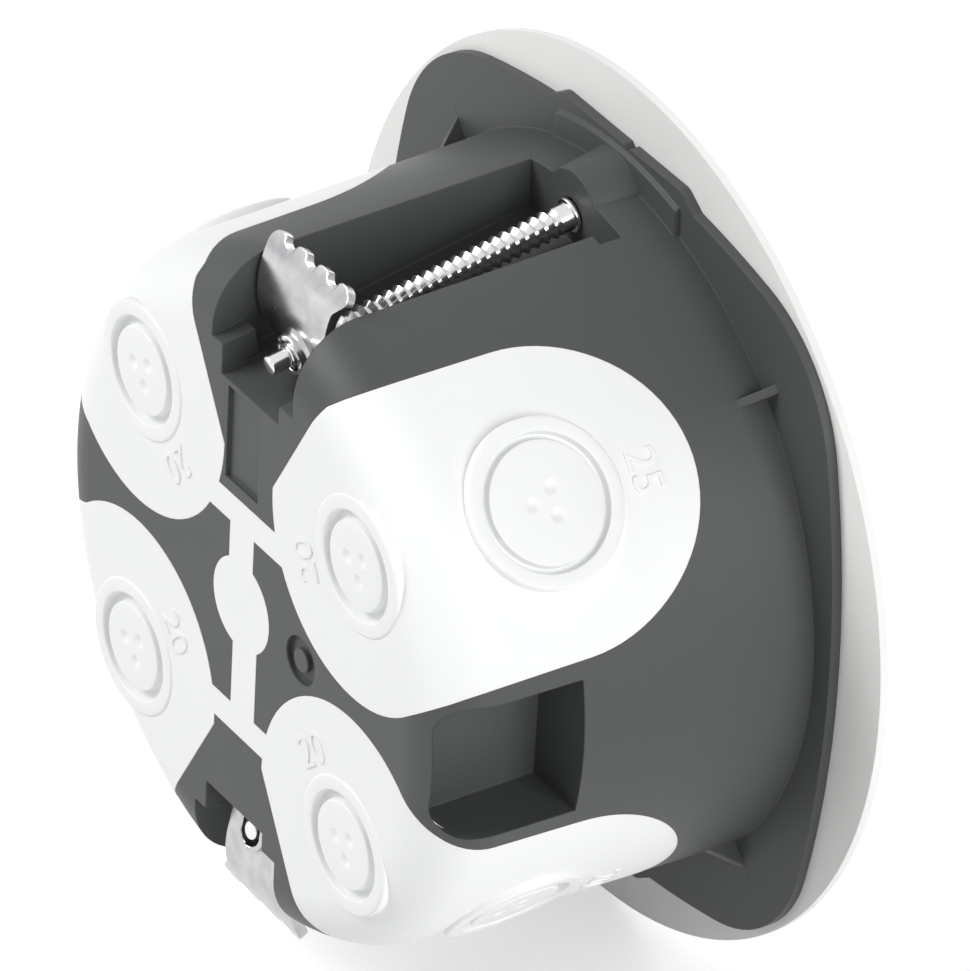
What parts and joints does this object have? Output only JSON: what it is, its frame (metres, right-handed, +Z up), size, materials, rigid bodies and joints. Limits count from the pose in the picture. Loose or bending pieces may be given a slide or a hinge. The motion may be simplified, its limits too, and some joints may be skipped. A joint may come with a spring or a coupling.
{
  "type": "junction box",
  "caption": "Round wall box for cable joints: dark drafted barrel with pale soft cable entries, side claws drawn up by tilted screws, and a screwed round cover.",
  "frame": {"origin": "centre of the hole in the wall, in the wall plane, which is the back face of the flange", "axes": "+Y goes back into the wall along the barrel, the cover faces -Y, +Z is up and the two claws lie at +Z and -Z"},
  "size_m": [0.0834, 0.0404, 0.0834],
  "materials": {
    "shell": "satin, fine mould texture",
    "soft": "satin, soft",
    "cover": "satin",
    "claw": "zinc plated",
    "screw": "zinc plated, bright"
  },
  "bodies": {
    "box": {"box_shell": "shell", "soft_entries": "soft"},
    "cover": {"cover": "cover"},
    "claw_upper": {"claw_upper": "claw"},
    "claw_lower": {"claw_lower": "claw"},
    "claw_screw_upper": {"claw_screw_upper": "screw"},
    "claw_screw_lower": {"claw_screw_lower": "screw"},
    "cover_screw_left": {"cover_screw_left": "screw"},
    "cover_screw_right": {"cover_screw_right": "screw"}
  },
  "joints": [
    {"name": "claw_screw_upper_turn", "type": "hinge", "parent": "box", "child": "claw_screw_upper", "pos_m": [0, 0, 0.0312], "axis": [0, 0.9816, -0.1908], "range_deg": [0, 7200]},
    {"name": "claw_upper_slide", "type": "slide", "parent": "box", "child": "claw_upper", "axis": [0, -0.9816, 0.1908], "range_m": [0, 0.022]},
    {"name": "claw_screw_lower_turn", "type": "hinge", "parent": "box", "child": "claw_screw_lower", "pos_m": [0, 0, -0.0312], "axis": [0, 0.9816, 0.1908], "range_deg": [0, 7200]},
    {"name": "claw_lower_slide", "type": "slide", "parent": "box", "child": "claw_lower", "axis": [0, -0.9816, -0.1908], "range_m": [0, 0.022]},
    {"name": "cover_off", "type": "slide", "parent": "box", "child": "cover", "axis": [0, -1, 0], "range_m": [0, 0.03]},
    {"name": "cover_screw_left_turn", "type": "hinge", "parent": "cover", "child": "cover_screw_left", "pos_m": [-0.03, 0, 0], "axis": [0, 1, 0], "continuous": true},
    {"name": "cover_screw_right_turn", "type": "hinge", "parent": "cover", "child": "cover_screw_right", "pos_m": [0.03, 0, 0], "axis": [0, 1, 0], "continuous": true}
  ],
  "couplings": [
    {"joint": "claw_screw_upper_turn", "follows": "claw_upper_slide", "rad_per_m": 5712},
    {"joint": "claw_screw_lower_turn", "follows": "claw_lower_slide", "rad_per_m": 5712}
  ]
}
